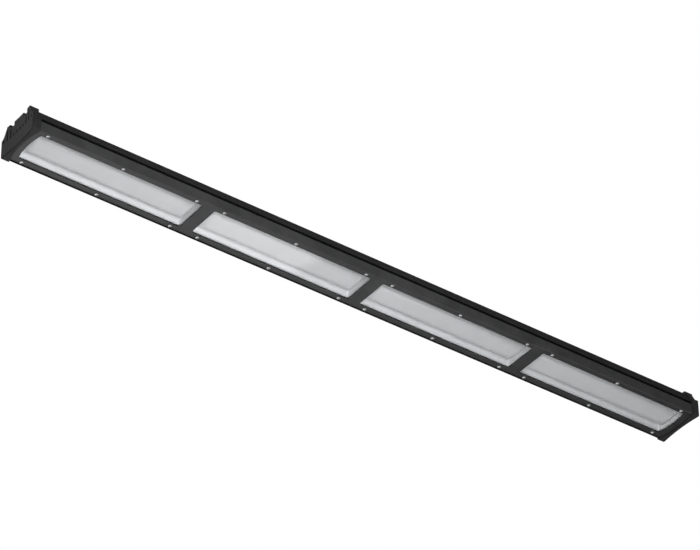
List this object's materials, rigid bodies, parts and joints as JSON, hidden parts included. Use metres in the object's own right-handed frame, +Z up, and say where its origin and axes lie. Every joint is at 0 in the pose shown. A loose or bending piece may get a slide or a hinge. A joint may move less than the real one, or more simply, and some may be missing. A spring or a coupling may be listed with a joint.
{
  "type": "linear industrial led light",
  "caption": "Long, low suspended LED light: finned black housing, screwed frame with recessed windows over frosted optics, and moulded end caps with hanging lugs.",
  "frame": {"origin": "under the middle of the light, level with the undersides of the end caps", "axes": "+X along the length, +Y across, +Z up as the light hangs, with the lit face down"},
  "size_m": [1.2, 0.0864, 0.0622],
  "materials": {
    "housing_paint": "extruded, with a fine textured satin black powder coat",
    "frame_paint": "fine textured powder coat, satin black",
    "cap_plastic": "moulded, fine matte texture",
    "cover_clear": "clear, polished",
    "tray_white": "white, satin",
    "optic_frosted": "frosted diffuser",
    "board_white": "white solder mask on aluminium core",
    "chip_yellow": "light source lens",
    "seal_rubber": "silicone, matte",
    "screw_steel": "plain stainless",
    "driver_metal": "mill finish",
    "circuit_green": "solder mask",
    "core_ferrite": "ferrite",
    "winding_tape": "taped winding",
    "capacitor_sleeve": "shrink sleeve",
    "terminal_plastic": "moulded",
    "terminal_brass": "plain",
    "wire_cover": "insulated",
    "gland_plastic": "moulded"
  },
  "bodies": {
    "root": {"housing": "housing_paint", "front_plate": "frame_paint", "cover_screws": "screw_steel", "end_cap_left": "cap_plastic", "end_cap_right": "cap_plastic", "end_gasket_left": "seal_rubber", "end_gasket_right": "seal_rubber", "driver_case": "driver_metal", "driver_board": "circuit_green", "driver_cores": "core_ferrite", "driver_windings": "winding_tape", "driver_capacitors": "capacitor_sleeve", "terminal_block": "terminal_plastic", "terminal_screws": "terminal_brass", "supply_wires": "wire_cover", "feed_wires": "wire_cover", "board_jumpers": "wire_cover", "feed_bushing": "seal_rubber", "gland_washer": "seal_rubber", "gland_body": "gland_plastic", "gland_locknut": "gland_plastic", "gland_seal": "seal_rubber", "gland_dome_nut": "gland_plastic", "cover_gasket_1": "seal_rubber", "cover_glass_1": "cover_clear", "reflector_tray_1": "tray_white", "optic_bar_1": "optic_frosted", "led_board_1": "board_white", "led_chips_1": "chip_yellow", "cover_gasket_2": "seal_rubber", "cover_glass_2": "cover_clear", "reflector_tray_2": "tray_white", "optic_bar_2": "optic_frosted", "led_board_2": "board_white", "led_chips_2": "chip_yellow", "cover_gasket_3": "seal_rubber", "cover_glass_3": "cover_clear", "reflector_tray_3": "tray_white", "optic_bar_3": "optic_frosted", "led_board_3": "board_white", "led_chips_3": "chip_yellow", "cover_gasket_4": "seal_rubber", "cover_glass_4": "cover_clear", "reflector_tray_4": "tray_white", "optic_bar_4": "optic_frosted", "led_board_4": "board_white", "led_chips_4": "chip_yellow"}
  },
  "joints": []
}
